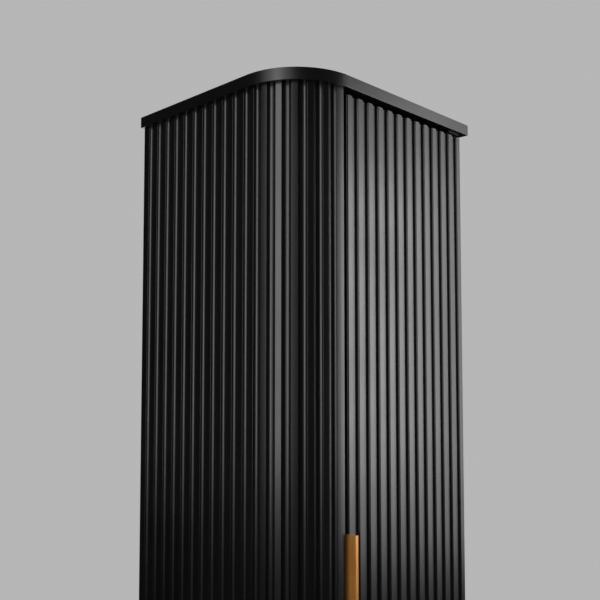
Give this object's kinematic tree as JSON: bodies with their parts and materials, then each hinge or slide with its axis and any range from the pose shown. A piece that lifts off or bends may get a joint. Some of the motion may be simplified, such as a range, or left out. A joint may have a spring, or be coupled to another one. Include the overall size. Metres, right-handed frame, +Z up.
{
  "type": "wardrobe",
  "caption": "Tall fluted wardrobe with a rounded front corner, one pivot-hung overlay door with an edge handle, a hat shelf and a hanging rail inside.",
  "frame": {"origin": "middle of the footprint, on the floor; the footprint is the whole object's box seen from above, handle included", "axes": "+Z up, -Y to the front where the door is, +X to the right seen from the front"},
  "size_m": [0.636, 0.567, 2.1],
  "materials": {
    "black_lacquer": "satin lacquer on fibreboard",
    "inner_board": "matt melamine on chipboard",
    "back_board": "matt painted fibreboard",
    "plinth_board": "matt melamine on chipboard",
    "beech": "plain turned wood",
    "handle_brass": "brushed satin",
    "rail_steel": "dark satin",
    "pivot_steel": "black plated",
    "zinc_steel": "zinc plated",
    "black_plastic": "moulded",
    "bush_plastic": "moulded",
    "clear_rubber": "soft matt"
  },
  "bodies": {
    "carcass": {"top_panel": "black_lacquer", "base_panel": "black_lacquer", "left_side_panel": "black_lacquer", "corner_panel": "black_lacquer", "right_side_panel": "black_lacquer", "closing_stile": "black_lacquer", "back_panel": "back_board", "fixing_rail": "inner_board", "hat_shelf": "inner_board", "plinth_left": "plinth_board", "plinth_corner": "plinth_board", "plinth_front": "plinth_board", "plinth_right": "plinth_board", "plinth_back": "plinth_board", "floor_glides": "black_plastic", "door_bumpers": "clear_rubber", "panel_dowels": "beech", "shelf_dowels": "beech", "stile_screws": "zinc_steel", "back_panel_screws": "zinc_steel", "rail_socket_screws": "zinc_steel", "pivot_plate_screws": "zinc_steel", "hanging_rail": "rail_steel", "rail_socket_left": "rail_steel", "rail_socket_right": "rail_steel", "magnet_catch": "black_plastic", "top_pivot_plate": "pivot_steel", "bottom_pivot_plate": "pivot_steel", "top_pivot_pin": "pivot_steel", "bottom_pivot_pin": "pivot_steel"},
    "door": {"door_panel": "black_lacquer", "top_pivot_bush": "bush_plastic", "bottom_pivot_bush": "bush_plastic", "handle": "handle_brass", "handle_screws": "zinc_steel", "strike_plate": "zinc_steel"}
  },
  "joints": [
    {"name": "door_swing", "type": "hinge", "parent": "carcass", "child": "door", "pos_m": [0.288, -0.2515, 0], "axis": [0, 0, 1], "range_deg": [0, 110]}
  ]
}
